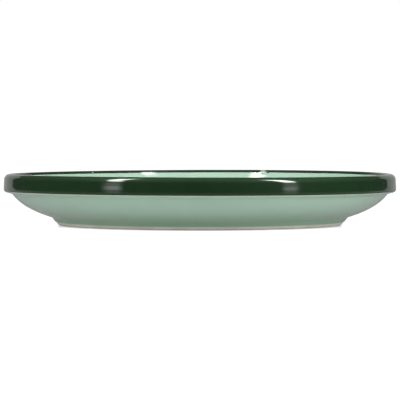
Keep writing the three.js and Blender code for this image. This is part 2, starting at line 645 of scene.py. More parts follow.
class EffectBoard(NodeBoard):
    """The nodes of a new shader group that gives one value."""

    def __init__(self, name: str, vectors: tuple[str, ...], numbers: tuple[str, ...], result: str) -> None:
        """Opens the group.

        Args:
            name: Its name.
            vectors: Names of its inputs that are vectors.
            numbers: Names of its inputs that are numbers.
            result: Name of its output.
        """
        super().__init__(bpy.data.node_groups.new(name, "ShaderNodeTree"))
        sockets = self.tree.interface
        for label in vectors:
            sockets.new_socket(label, in_out="INPUT", socket_type="NodeSocketVector")
        for label in numbers:
            sockets.new_socket(label, in_out="INPUT", socket_type="NodeSocketFloat")
        sockets.new_socket(result, in_out="OUTPUT", socket_type="NodeSocketFloat")
        self.given = self.add("NodeGroupInput").outputs

    def close(self, value: NodeSocket) -> NodeTree:
        """Joins the value to the group's end and returns the group."""
        self.add("NodeGroupOutput", inputs={0: value})
        return self.tree


class TurningTree(NodeBoard):
    """Geometry nodes that turn an outline about the upright middle line."""

    NAME = "turned_on_the_middle_line"
    INPUTS = {
        "NodeSocketInt": ("Sides", "Joined"),
        "NodeSocketFloat": ("Border sway", "Border waves", "Ripple", "Ripple size", "Seed")
        + ("Warp", "Warp turn", "Warp height"),
        "NodeSocketMaterial": ("Finish",),
    }

    def __init__(self) -> None:
        """Builds the tree with its named inputs."""
        super().__init__(bpy.data.node_groups.new(self.NAME, "GeometryNodeTree"))
        sockets = self.tree.interface
        sockets.new_socket("Geometry", in_out="INPUT", socket_type="NodeSocketGeometry")
        self.identifiers: dict[str, str] = {}
        for kind, names in self.INPUTS.items():
            for name in names:
                socket = sockets.new_socket(name, in_out="INPUT", socket_type=kind)
                self.identifiers[name] = socket.identifier
        sockets.new_socket("Geometry", in_out="OUTPUT", socket_type="NodeSocketGeometry")
        self.given = self.add("NodeGroupInput").outputs
        self._lay_out()
        spot = self._rippled(self._swayed(self._sampled("position", "FLOAT_VECTOR")))
        self._close(self._settled(self._turned(spot)))

    def _lay_out(self) -> None:
        """Adds a grid with a column for each turn, and finds each vertex's place on the outline."""
        given = self.given
        domain = {"Geometry": given["Geometry"]}
        count = self.add("GeometryNodeAttributeDomainSize", inputs=domain).outputs["Point Count"]
        rows = self.math("ADD", count, given["Joined"])
        size = {"Vertices X": self.math("ADD", given["Sides"], 1.0), "Vertices Y": rows}
        self.grid = self.add("GeometryNodeMeshGrid", inputs=size).outputs["Mesh"]
        index = self.add("GeometryNodeInputIndex").outputs["Index"]
        column = self.math("FLOOR", self.math("DIVIDE", self.math("ADD", index, 0.5), rows))
        row = self.math("SUBTRACT", index, self.times(column, rows))
        self.place = self.math("MODULO", row, count)
        column = self.math("MODULO", column, given["Sides"])
        self.angle = self.times(self.math("DIVIDE", column, given["Sides"]), math.tau)
        self.cosine = self.math("COSINE", self.angle)
        self.sine = self.math("SINE", self.angle)

    def _sampled(self, name: str, kind: str) -> NodeSocket:
        """Reads one of the outline's attributes.

        Args:
            name: The attribute.
            kind: Its type.

        Returns:
            The socket of its value at each vertex's place on the outline.
        """
        if name == "position":
            value = self.add("GeometryNodeInputPosition").outputs[0]
        else:
            value = self.result("GeometryNodeInputNamedAttribute", {"data_type": kind}, name)
        outline = self.given["Geometry"]
        return self.result("GeometryNodeSampleIndex", {"data_type": kind}, outline, value, self.place)

    def _moved(self, spot: NodeSocket, way: str, amount: NodeSocket) -> NodeSocket:
        """Returns a place moved by an amount along one of the outline's ways."""
        ways = self._sampled(way, "FLOAT_VECTOR")
        return self.vector("MULTIPLY_ADD", ways, self.joined(amount, amount, amount), spot)

    def _swayed(self, spot: NodeSocket) -> NodeSocket:
        """Lets the borders of the glaze wander.

        Args:
            spot: Place on the outline.

        Returns:
            The moved place.
        """
        around = self.joined(self.cosine, self.sine, self.given["Seed"])
        waves = self.noise(around, self.given["Border waves"], detail=3.0, roughness=0.55)
        swing = self.math("SUBTRACT", waves, NOISE_MIDDLE)
        return self._moved(spot, "border_way", self.times(swing, self.given["Border sway"]))

    def _rippled(self, spot: NodeSocket) -> NodeSocket:
        """Gives the melted glaze its ripples, which only lower it.

        Args:
            spot: Place on the outline.

        Returns:
            The moved place.
        """
        seed = self.given["Seed"]
        shifted = self.vector("ADD", self._turned(spot), self.joined(seed, seed, seed))
        hills = self.noise(shifted, self.given["Ripple size"], detail=1.5)
        rise = self.math("SUBTRACT", hills, NOISE_TOP)
        return self._moved(spot, "lift_way", self.times(rise, self.given["Ripple"]))

    def _turned(self, spot: NodeSocket) -> NodeSocket:
        """Returns where a place of the outline stands round the middle line."""
        flat = self.parts(spot)
        return self.joined(self.times(flat["X"], self.cosine), self.times(flat["X"], self.sine), flat["Z"])

    def _settled(self, place: NodeSocket) -> NodeSocket:
        """Lowers two opposite sides of the rim a little, as clay settles in the kiln.

        Args:
            place: Place round the middle line.

        Returns:
            The lowered place.
        """
        given = self.given
        twice = self.times(self.math("SUBTRACT", self.angle, given["Warp turn"]), 2.0)
        settling = self.math("SUBTRACT", 1.0, self.math("COSINE", twice))
        height = self.math("DIVIDE", self.parts(place)["Z"], given["Warp height"])
        drop = self.times(settling, given["Warp"], self.ramp(height, 0.0, 1.0))
        return self.vector("SUBTRACT", place, self.joined(0.0, 0.0, drop))

    def _close(self, places: NodeSocket) -> None:
        """Sets the grid in place, joins its seams and smooths it, apart from its sharp edges.

        Args:
            places: Where each vertex of the grid belongs.
        """
        inputs = {"Geometry": self.grid, "Position": places}
        shell = self.add("GeometryNodeSetPosition", inputs=inputs).outputs[0]
        for name in ("depth", "pool"):
            settings = {"data_type": "FLOAT", "domain": "POINT"}
            value = self._sampled(name, "FLOAT")
            shell = self.result("GeometryNodeStoreNamedAttribute", settings, shell, True, name, value)
        seams = {"Geometry": shell, "Distance": SAME_POINT / 2}
        shell = self.add("GeometryNodeMergeByDistance", inputs=seams).outputs[0]
        bend = self.add("GeometryNodeInputMeshEdgeAngle").outputs["Unsigned Angle"]
        creased = self.math("GREATER_THAN", bend, CREASE)
        for domain, chosen, smooth in (("FACE", True, True), ("EDGE", creased, False)):
            inputs = {"Geometry": shell, "Selection": chosen, "Shade Smooth": smooth}
            shell = self.add("GeometryNodeSetShadeSmooth", {"domain": domain}, inputs).outputs[0]
        real = self.add("GeometryNodeRealizeInstances", inputs={"Geometry": shell}).outputs[0]
        painted = {"Geometry": real, "Material": self.given["Finish"]}
        last = self.add("GeometryNodeSetMaterial", inputs=painted)
        self.add("NodeGroupOutput", inputs={"Geometry": last.outputs[0]})


def new_object(name: str, data: bpy.types.ID) -> Object:
    """Returns a new object in the scene."""
    thing = bpy.data.objects.new(name, data)
    bpy.context.scene.collection.objects.link(thing)
    return thing


def new_mesh(name: str, places: list, faces: list) -> Mesh:
    """Returns a new mesh of some places and the faces between them."""
    mesh = bpy.data.meshes.new(name)
    mesh.from_pydata(places, [], faces)
    return mesh


@dataclass
class Spot:
    """A point of an outline to turn: its distance from the middle line and its height, how full the
    glaze's thickness is (0 to 1), how much glaze has gathered (-1 on sharp edges to 1 in hollows), and
    the ways in which it sways with a glaze border and rises with the glaze's ripples.
    """

    point: Vector
    depth: float
    pool: float
    border_way: Vector = field(default_factory=lambda: Vector((0, 0)))
    lift_way: Vector = field(default_factory=lambda: Vector((0, 0)))


def outline_mesh(name: str, spots: list[Spot]) -> Mesh:
    """Writes an outline as loose vertices that carry its values.

    Args:
        name: Name of the mesh.
        spots: The outline's points.

    Returns:
        The new mesh, in the plane of the X and Z axes.
    """
    mesh = new_mesh(name, [(spot.point.x, 0, spot.point.y) for spot in spots], [])
    for key in ("border_way", "lift_way"):
        attribute = mesh.attributes.new(key, "FLOAT_VECTOR", "POINT")
        for item, spot in zip(attribute.data, spots):
            way = getattr(spot, key)
            item.vector = (way.x, 0, way.y)
    for key in ("depth", "pool"):
        attribute = mesh.attributes.new(key, "FLOAT", "POINT")
        attribute.data.foreach_set("value", [getattr(spot, key) for spot in spots])
    return mesh


@dataclass
class Turning:
    """How outlines are turned into pieces."""

    tree: TurningTree
    sides: int = SIDES_ROUND
    border_sway: float = 0.35 * MM
    border_waves: float = 4.5
    ripple: float = 0.05 * MM
    ripple_size: float = 55.0
    seed: float = 3.7
    warp: float = 0.175 * MM
    warp_turn: float = math.radians(61)
    warp_height: float = 26.0 * MM

    def turn(self, name: str, spots: list[Spot], joined: bool, finish: Material) -> Object:
        """Turns an outline and keeps the result as a plain mesh.

        Args:
            name: The piece's name.
            spots: The outline to turn.
            joined: Whether its last point joins its first.
            finish: The piece's material.

        Returns:
            The piece, with no modifier left on it.
        """
        flat = outline_mesh(name + "_outline", spots)
        piece = new_object(name, flat)
        turning = piece.modifiers.new("turning", "NODES")
        turning.node_group = self.tree.tree
        # Each named input takes the setting of the same name
        settings = {**vars(self), "joined": int(joined), "finish": finish}
        for label, identifier in self.tree.identifiers.items():
            turning[identifier] = settings[label.lower().replace(" ", "_")]
        graph = bpy.context.evaluated_depsgraph_get()
        turned = bpy.data.meshes.new_from_object(piece.evaluated_get(graph), depsgraph=graph)
        turned.name = name
        piece.modifiers.remove(turning)
        piece.data = turned
        bpy.data.meshes.remove(flat)
        return piece


class Effects:
    """Shader groups that several finishes share."""

    PIT_SPACING = 5 * MM
    PIT_RADIUS = 0.35 * MM
    PIT_SHARE = 0.22
    SWELL_SIZE = 160.0
    RUN_CONTRAST = 2.2
    SPECK_LEAST = 0.35
    SPECK_EDGE = 0.6
    RAGGED_SIZE = 1400.0
    RAGGED_SHARE = 0.5
    MARK_RANGE = (1.25, 0.85)

    def __init__(self) -> None:
        """Builds each group once."""
        self._build_clouds()
        self._build_specks()
        self._build_skin()
        self._build_runs()
        self._build_mark()

    def _build_clouds(self) -> None:
        """Builds soft clouds of lighter and darker tone, as uneven glaze and clay have."""
        board = EffectBoard("soft_clouds", ("Place",), ("Size", "Contrast"), "Share")
        noise = board.noise(board.given["Place"], board.given["Size"], detail=4.0, roughness=0.55)
        swing = board.times(board.math("SUBTRACT", noise, NOISE_MIDDLE), board.given["Contrast"])
        self.clouds = board.close(board.math("ADD", swing, NOISE_MIDDLE, clamp=True))

    def _build_specks(self) -> None:
        """Builds a mask of small round spots that lie here and there."""
        board = EffectBoard("scattered_specks", ("Place",), ("Spacing", "Radius", "Share"), "Mask")
        given = board.given
        cells = board.add("ShaderNodeTexVoronoi", {"feature": "F1"}, {"Vector": given["Place"]})
        board.feed(cells.inputs["Scale"], board.math("DIVIDE", 1.0, given["Spacing"]))
        chance = board.add("ShaderNodeSeparateColor", inputs={"Color": cells.outputs["Color"]}).outputs
        size = board.times(given["Radius"], board.math("ADD", chance[1], self.SPECK_LEAST))
        reach = board.math("DIVIDE", size, given["Spacing"])
        away = board.math("DIVIDE", cells.outputs["Distance"], reach)
        soft = board.ramp(board.math("SUBTRACT", 1.0, away, clamp=True), 0.0, self.SPECK_EDGE)
        self.specks = board.close(board.times(soft, board.math("LESS_THAN", chance[0], given["Share"])))

    def _build_skin(self) -> None:
        """Builds the relief of a fired skin, in metres: slow swells, a fine grain and small pinholes."""
        numbers = ("Swell", "Grain", "Grain size", "Pits")
        board = EffectBoard("fired_skin", ("Place",), numbers, "Height")
        given = board.given
        swells = board.noise(given["Place"], self.SWELL_SIZE, detail=2.0)
        grain = board.noise(given["Place"], given["Grain size"], detail=5.0, roughness=0.65)
        height = board.math("MULTIPLY_ADD", grain, given["Grain"], board.times(swells, given["Swell"]))
        pits = {"Spacing": self.PIT_SPACING, "Radius": self.PIT_RADIUS, "Share": self.PIT_SHARE}
        mask = board.effect(self.specks, Place=given["Place"], **pits)
        self.skin = board.close(board.math("SUBTRACT", height, board.times(mask, given["Pits"])))

    def _build_runs(self) -> None:
        """Builds faint upright runs, where melted glaze crept down the wall."""
        board = EffectBoard("glaze_runs", ("Place",), ("Fineness", "Length"), "Share")
        given = board.given
        way = board.vector("NORMALIZE", board.vector("MULTIPLY", given["Place"], (1.0, 1.0, 0.0)))
        rise = board.vector("MULTIPLY", given["Place"], (0.0, 0.0, 1.0))
        drawn_out = board.vector("SCALE", rise, board.math("DIVIDE", 1.0, given["Length"]))
        spot = board.vector("ADD", board.vector("SCALE", way, given["Fineness"]), drawn_out)
        swing = board.math("SUBTRACT", board.noise(spot, 1.0, detail=3.0), NOISE_MIDDLE)
        swing = board.times(swing, self.RUN_CONTRAST)
        self.runs = board.close(board.math("ADD", swing, NOISE_MIDDLE, clamp=True))

    def _build_mark(self) -> None:
        """Builds a mask of one soft spot with a ragged edge, for a blemish on a rim or a painted glint."""
        board = EffectBoard("kiln_mark", ("Place", "Middle", "Reach"), (), "Mask")
        given = board.given
        offset = board.vector("SUBTRACT", given["Place"], given["Middle"])
        away = board.vector("LENGTH", board.vector("DIVIDE", offset, given["Reach"]))
        rough = board.noise(given["Place"], self.RAGGED_SIZE, detail=2.0)
        ragged = board.math("MULTIPLY_ADD", rough, self.RAGGED_SHARE, away)
        self.mark = board.close(board.ramp(ragged, *self.MARK_RANGE))


@dataclass(frozen=True)
class RimBlemishAndGlint:
    """A small spot of another colour on the rim, at a turn in degrees from the near side: a blemish, or a
    painted glint.
    """

    turn: float
    radius: float
    height: float
    width: float
    rise: float
    tint: str

    @property
    def middle(self) -> tuple[float, float, float]:
        """Where its middle is."""
        turn = math.radians(self.turn)
        return (self.radius * math.sin(turn), -self.radius * math.cos(turn), self.height)

    @property
    def reach(self) -> tuple[float, float, float]:
        """How far it reaches along each axis."""
        return (self.width, self.width, self.rise)


class FiredBoard(MaterialBoard):
    """The nodes of a fired surface, with the shared effects at hand."""

    def __init__(self, name: str, effects: Effects) -> None:
        """Opens the material and finds where its surface is."""
        super().__init__(name)
        self.effects = effects
        self.spot = self.place()

    def shared(self, group: NodeTree, **values: object) -> NodeSocket:
        """Returns a shared effect at the surface's own place."""
        return self.effect(group, Place=self.spot, **values)

    def finish(self, look: dict[str, object]) -> Material:
        """Ends the material with a shader of the given inputs and returns it."""
        return self.close(self.add("ShaderNodeBsdfPrincipled", inputs=look).outputs[0])


@dataclass(frozen=True, kw_only=True)
class FiredFinish:
    """What glaze and bare clay share: clouds of a second tone, specks, a fired skin and a roughness.

    Each range in a finish says where a change begins and where it is complete.
    """

    name: str
    cloud_size: float
    cloud_contrast: float
    speck: str
    speck_spacing: float
    speck_radius: float
    speck_share: float
    speck_strength: float
    swell: float
    grain: float
    grain_size: float
    pits: float
    relief_strength: float = 1.0
    roughness: float
    roughness_spread: float
    specular: float
    ior: float = 1.5

    def clouds(self, board: FiredBoard) -> NodeSocket:
        """Returns the share of the second tone."""
        return board.shared(board.effects.clouds, Size=self.cloud_size, Contrast=self.cloud_contrast)

    def specked(self, board: FiredBoard, tone: NodeSocket) -> NodeSocket:
        """Returns a colour with the specks in it."""
        dots = {"Spacing": self.speck_spacing, "Radius": self.speck_radius, "Share": self.speck_share}
        mask = board.times(board.shared(board.effects.specks, **dots), self.speck_strength)
        return board.stain(mask, tone, self.speck)

    def look(self, board: FiredBoard, tone: NodeSocket, rough: NodeSocket) -> dict[str, object]:
        """Gives the inputs that every fired surface has.

        Args:
            board: The material's nodes.
            tone: The colour.
            rough: How far the roughness is from its least to its greatest, from 0 to 1.

        Returns:
            The inputs of the shader by name.
        """
        skin = {"Swell": self.swell, "Grain": self.grain, "Grain size": self.grain_size}
        height = board.shared(board.effects.skin, **skin, Pits=self.pits)
        least = self.roughness * (1 - self.roughness_spread)
        greatest = self.roughness * (1 + self.roughness_spread)
        return {
            "Base Color": tone,
            "Roughness": board.mix(rough, least, greatest, kind="FLOAT"),
            "Metallic": 0.0,
            "IOR": self.ior,
            "Specular IOR Level": self.specular,
            "Normal": board.facing(height, self.relief_strength),
        }


@dataclass(frozen=True, kw_only=True)
class GlazeFinish(FiredFinish):
    """A glassy coat: its colour where it lies even, where it gathers deep and where it lies thin, its
    specks and its skin. The colour of gathered glaze also paints shade low on the bowl, by the foot.
    """

    even: str
    thick_and_shaded: str
    thin: str
    pooling: float = 0.35
    pool_range: tuple[float, float] = (0.05, 1.0)
    edge_break: float = 0.35
    edge_range: tuple[float, float] = (-0.25, -1.0)
    thin_range: tuple[float, float] = (0.95, 0.2)
    cloud_size: float = 34.0
    cloud_contrast: float = 1.2
    cloud_share: float = 0.3
    streak_fineness: float = 16.0
    streak_length: float = 22 * MM
    streak_share: float = 0.15
    # Darker low on the bowl: glaze run down the wall, together with painted shade by the foot
    low_run_and_shade_range: tuple[float, float] = (16 * MM, 3 * MM)
    low_run_and_shade_share: float = 0.0
    speck_spacing: float = 3.4 * MM
    speck_radius: float = 0.2 * MM
    speck_share: float = 0.12
    speck_strength: float = 0.45
    swell: float = 0.006 * MM
    grain: float = 0.0006 * MM
    grain_size: float = 1500.0
    pits: float = 0.05 * MM
    roughness: float = 0.42
    roughness_spread: float = 0.1
    specular: float = 0.05
    sheen_size: float = 60.0
    sheen_range: tuple[float, float] = (0.3, 0.7)
    gloss_range: tuple[float, float] = (0.05, 0.5)
    gloss_roughness: float = 0.035
    gloss_ior: float = 1.52
    marks: tuple[RimBlemishAndGlint, ...] = ()

    def material(self, effects: Effects) -> Material:
        """Builds the material, with its gloss as a clear coat over the colour.

        Args:
            effects: The shared shader groups.

        Returns:
            The finished material.
        """
        board = FiredBoard(self.name, effects)
        depth = board.carried("depth")
        pool = board.carried("pool")
        edge = board.times(board.ramp(pool, *self.edge_range), self.edge_break)
        thin = board.math("MAXIMUM", board.ramp(depth, *self.thin_range), edge)
        tone = self.specked(board, board.stain(thin, self._tone(board, pool), self.thin))
        gloss = board.ramp(depth, *self.gloss_range)
        # Each mark tints the coat and dulls its gloss. One pale mark on the dark glaze is a painted glint
        for mark in self.marks:
            inside = board.shared(effects.mark, Middle=mark.middle, Reach=mark.reach)
            tone = board.stain(inside, tone, mark.tint)
            gloss = board.times(gloss, board.math("SUBTRACT", 1.0, inside))
        sheen = board.noise(board.spot, self.sheen_size, detail=3.0)
        look = self.look(board, tone, board.ramp(sheen, *self.sheen_range))
        look["Coat Weight"] = gloss
        look["Coat Roughness"] = self.gloss_roughness
        look["Coat IOR"] = self.gloss_ior
        look["Coat Normal"] = look["Normal"]
        return board.finish(look)

    def _tone(self, board: FiredBoard, pool: NodeSocket) -> NodeSocket:
        """Mixes the even colour and the colour of gathered glaze by clouds, streaks and where melted glaze
        has gathered, and low on the bowl by glaze run down the wall together with painted shade by the
        foot.

        Args:
            board: The material's nodes.
            pool: How much glaze the section's bends gather there.

        Returns:
            The socket of the colour.
        """
        run_shape = {"Fineness": self.streak_fineness, "Length": self.streak_length}
        streaks = board.shared(board.effects.runs, **run_shape)
        # Darker low on the bowl: glaze run down the wall, together with painted shade by the foot
        low = board.ramp(board.parts(board.spot)["Z"], *self.low_run_and_shade_range, 0.0, self.low_run_and_shade_share)
        share = board.math("MULTIPLY_ADD", self.clouds(board), self.cloud_share, low)
        share = board.math("MULTIPLY_ADD", streaks, self.streak_share, share)
        hollow = board.times(board.ramp(pool, *self.pool_range), self.pooling)
        share = board.math("ADD", share, hollow, clamp=True)
        return board.stain(share, colour(self.even), self.thick_and_shaded)


@dataclass(frozen=True, kw_only=True)
class StonewareFinish(FiredFinish):
    """Bare fired clay: two close tones, iron specks, a toasted line by the glaze and a band that is darker
    in patches along the foot's bottom edge.
    """

    name: str = "bare_stoneware"
    light: str = "#efeee4"
    dark: str = "#dcd9ca"
    cloud_size: float = 120.0
    cloud_contrast: float = 2.0
    toasted: str = "#bcab88"
    toast_range: tuple[float, float] = (0.7, 0.0)
    toast_share: float = 0.2
    speck: str = "#6b5138"
    speck_spacing: float = 1.4 * MM
    speck_radius: float = 0.16 * MM
    speck_share: float = 0.35
    speck_strength: float = 0.7
    bottom_dark: str = "#8d8472"
    bottom_dark_range: tuple[float, float] = (0.75 * MM, 0.3 * MM)
    bottom_dark_share: float = 0.5
    patchy_size: float = 210.0
    patchy_range: tuple[float, float] = (0.2, 0.7)
    patchy_least: float = 0.55
    swell: float = 0.02 * MM
    grain: float = 0.035 * MM
    grain_size: float = 1900.0
    pits: float = 0.12 * MM
    relief_strength: float = 0.8
    roughness: float = 0.82
    roughness_spread: float = 0.07
    specular: float = 0.35

    def material(self, effects: Effects) -> Material:
        """Builds the material.

        Args:
            effects: The shared shader groups.

        Returns:
            The finished material.
        """
        board = FiredBoard(self.name, effects)
        clouds = self.clouds(board)
        tone = board.stain(clouds, colour(self.light), self.dark)
        toast = board.times(board.ramp(board.carried("depth"), *self.toast_range), self.toast_share)
        tone = self.specked(board, board.stain(toast, tone, self.toasted))
        # Darker in patches along the foot's bottom edge, where it meets the table
        low = board.ramp(board.parts(board.spot)["Z"], *self.bottom_dark_range, 0.0, self.bottom_dark_share)
        patchy = board.noise(board.spot, self.patchy_size, detail=4.0)
        patchy = board.ramp(patchy, *self.patchy_range, self.patchy_least)
        tone = board.stain(board.times(low, patchy), tone, self.bottom_dark)
        return board.finish(self.look(board, tone, board.ramp(clouds, 0.0, 1.0)))


PALE_GLAZE = GlazeFinish(
    name="pale_green_glaze",
    even="#aec8b8",
    thick_and_shaded="#9cbca2",
    thin="#c9c8b0",
    speck="#7d8f6f",
    edge_break=0.15,
    pooling=0.5,
    # Painted shade by the foot, together with glaze run down the wall: darker low on the bowl
    low_run_and_shade_range=(10 * MM, 4.5 * MM),
    low_run_and_shade_share=0.7,
    marks=(  # Turn, radius, height, width, rise and tint
        RimBlemishAndGlint(158.2, 95.0 * MM, 24.1 * MM, 3.0 * MM, 0.9 * MM, "#a2bfae"),
        RimBlemishAndGlint(158.9, 95.0 * MM, 24.5 * MM, 0.9 * MM, 0.5 * MM, "#7f9f86"),
        RimBlemishAndGlint(156.9, 95.2 * MM, 24.8 * MM, 1.3 * MM, 0.6 * MM, "#213a24"),
        RimBlemishAndGlint(160.7, 95.2 * MM, 24.85 * MM, 1.1 * MM, 0.5 * MM, "#213a24"),
    ),
)
DARK_GLAZE = GlazeFinish(
    name="dark_green_glaze",
    even="#19301b",
    thick_and_shaded="#0f2211",
    thin="#33492f",
    speck="#2f4a33",
    cloud_share=0.35,
    speck_share=0.08,
    marks=(  # Turn, radius, height, width, rise and tint
        RimBlemishAndGlint(162.0, 95.8 * MM, 25.4 * MM, 6.0 * MM, 0.9 * MM, "#19301b"),
        RimBlemishAndGlint(158.8, 95.8 * MM, 25.7 * MM, 2.0 * MM, 1.1 * MM, "#8b9b86"),
        # A pale dull spot that paints a glint on the far rim: a painted highlight
        RimBlemishAndGlint(217.7, 95.6 * MM, 25.0 * MM, 1.2 * MM, 0.6 * MM, "#8fa898"),
    ),
)


@dataclass
class TurnedPiece:
    """A piece of the saucer and the part that it stands for."""

    name: str
    node: str
    section: ClaySection

    slot: ClassVar[Slot]
    joined: ClassVar[bool] = False

    def spots(self) -> list[Spot]:
        """Returns the piece's closed outline."""
        raise NotImplementedError

    def build(self, turning: Turning, finish: Material) -> Object:
        """Returns the turned piece in its finish."""
        return turning.turn(self.name, self.spots(), self.joined, finish)

    def dress(self, piece: Object) -> None:
        """Attaches the piece to the body it moves with and hides the model part that it replaces."""
        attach(piece, BODY)
        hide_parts(self.node)


@dataclass
class ClayBody(TurnedPiece):
    """The fired clay: bowl, collar and foot ring in one. It shows only on the foot ring."""

    toast_reach: float = 1.1 * MM

    slot = Slot.STONEWARE

    def spots(self) -> list[Spot]:
        """Draws the clay's outline. Its depth is how far the bare strip is from the glaze.

        Returns:
            The outline's points.
        """
        section = self.section
        bare = (Border.RECESS_END, Border.BOWL_START)
        first, last = (section.borders[border] for border in bare)
        spots = []
        for index, point in enumerate(section.points):
            gap = min(section.gap(index, border) for border in bare) if first <= index <= last else 0.0
            spots.append(Spot(point, min(1.0, gap / self.toast_reach), section.pools[index]))
        return spots


@dataclass
class GlazeCoat(TurnedPiece):
    """A coat of glaze between two borders. One without its first or last ends on the middle line."""

    first: Border | None = None
    last: Border | None = None
    roll_length: float = 0.75 * MM
    sway_reach: float = 2.2 * MM

    @property
    def slot(self) -> Slot:
        """The coat's material slot, the dark one between the dark borders."""
        dark = self.first is Border.DARK_START and self.last is Border.DARK_END
        return Slot.DARK_GLAZE if dark else Slot.PALE_GLAZE

    @property
    def joined(self) -> bool:
        """Whether the outline's last point joins its first."""
        return self.first is not None and self.last is not None

    def _near(self, index: int, reach: float) -> list[tuple[Border, float]]:
        """Finds the coat's own borders near a place.

        Args:
            index: Place on the clay's outline.
            reach: How far off they may be.

        Returns:
            Each border within reach, and how near it is, from 0 to 1.
        """
        borders = [border for border in (self.first, self.last) if border]
        shares = [(border, 1 - self.section.gap(index, border) / reach) for border in borders]
        return [(border, share) for border, share in shares if share > 0]

    def _depth(self, index: int) -> float:
        """Returns how full the coat is at a place, from 0 at a rolled lip to 1."""
        lips = [share for border, share in self._near(index, self.roll_length) if border.rolled]
        return min((math.sqrt(1 - share**2) for share in lips), default=1.0)

    def _sway(self, index: int) -> float:
        """Returns how fully a place follows the sway of the coat's borders, from 0 to 1."""
        near = self._near(index, self.sway_reach)
        return max((share * border.sway for border, share in near), default=0.0)

    def spots(self) -> list[Spot]:
        """Draws the coat's skin and its seat on the clay.

        Returns:
            The outline's points.
        """
        section = self.section
        first = section.borders.get(self.first, 0)
        last = section.borders.get(self.last, section.last)
        skin, seat = [], []
        for index in range(first, last + 1):
            depth = self._depth(index)
            point, out, pool = section.points[index], section.outwards[index], section.pools[index]
            sway = section.along(index) * self._sway(index)
            top = point + out * section.sizes.glaze * depth
            skin.append(Spot(top, depth, pool, sway, out * depth))
            if depth > 0:
                seat.append(Spot(point, depth, pool, sway))
        seat.reverse()
        return seat + skin if self.last is None else skin + seat


@dataclass
class PlantSaucer:
    """The whole saucer, built piece by piece."""

    sizes: SaucerSizes = field(default_factory=SaucerSizes)

    def build(self) -> None:
        """Builds and dresses every piece."""
        section = ClaySection(self.sizes)
        turning = Turning(TurningTree())
        effects = Effects()
        finishes = {
            Slot.STONEWARE: StonewareFinish().material(effects),
            Slot.PALE_GLAZE: PALE_GLAZE.material(effects),
            Slot.DARK_GLAZE: DARK_GLAZE.material(effects),
        }
        makers = (
            ClayBody("clay", "clay_body", section),
            GlazeCoat("glaze_underside", "underside_glaze", section, None, Border.RECESS_END),
            GlazeCoat("glaze_outside", "outer_glaze", section, Border.BOWL_START, Border.DARK_START),
            GlazeCoat("glaze_rim", "rim_glaze", section, Border.DARK_START, Border.DARK_END),
            GlazeCoat("glaze_inside", "inner_glaze", section, Border.DARK_END, None),
        )
        for maker in makers:
            piece = maker.build(turning, finishes[maker.slot])
            maker.dress(piece)
            log.info("piece: %s, %d faces", piece.name, len(piece.data.polygons))


def spot_round(azimuth: float, elevation: float, distance: float) -> Vector:
    """Finds a place round the saucer.

    Args:
        azimuth: Angle in degrees to the right of the camera, seen from the saucer.
        elevation: Angle in degrees over the table.
        distance: Distance from the saucer.

    Returns:
        The place.
    """
    turn, rise = math.radians(azimuth), math.radians(elevation)
    level = distance * math.cos(rise)
    return Vector((level * math.sin(turn), -level * math.cos(turn), distance * math.sin(rise)))


@dataclass(frozen=True)
class SoftBox:
    """A rectangular soft lamp that faces the saucer."""

    name: str
    azimuth: float
    elevation: float
    width: float
    length: float
    roll: float
    brightness: float
    distance: float
    even_share: float = 0.3

    def build(self) -> None:
        """Hangs the lamp."""
        lamp = bpy.data.lights.new(self.name, "AREA")
        lamp.shape = "RECTANGLE"
        lamp.size = self.width
        lamp.size_y = self.length
        lamp.energy = self.brightness * math.pi * self.width * self.length
        box = new_object(self.name, lamp)
        box.location = spot_round(self.azimuth, self.elevation, self.distance)
        facing = box.location.to_track_quat("Z", "Y").to_matrix()
        roll = Matrix.Rotation(math.radians(self.roll), 3, "Z")
        box.rotation_euler = (facing @ roll).to_euler()
        box.visible_camera = False
        self._soften(lamp)

    def _soften(self, lamp: bpy.types.AreaLight) -> None:
        """Lets the light fade towards the sides of the box.

        Args:
            lamp: The lamp's data.
        """
        lamp.use_nodes = True
        board = NodeBoard(lamp.node_tree)
        across = board.parts(board.add("ShaderNodeNewGeometry").outputs["Parametric"])
        level = 1.0
        for part in (across["X"], across["Y"]):
            away = board.math("ABSOLUTE", board.math("MULTIPLY_ADD", part, 2.0, -1.0))
            level = board.times(board.ramp(away, 1.0, self.even_share), level)
        board.add("ShaderNodeOutputLight", inputs={"Surface": board.glow(level)})


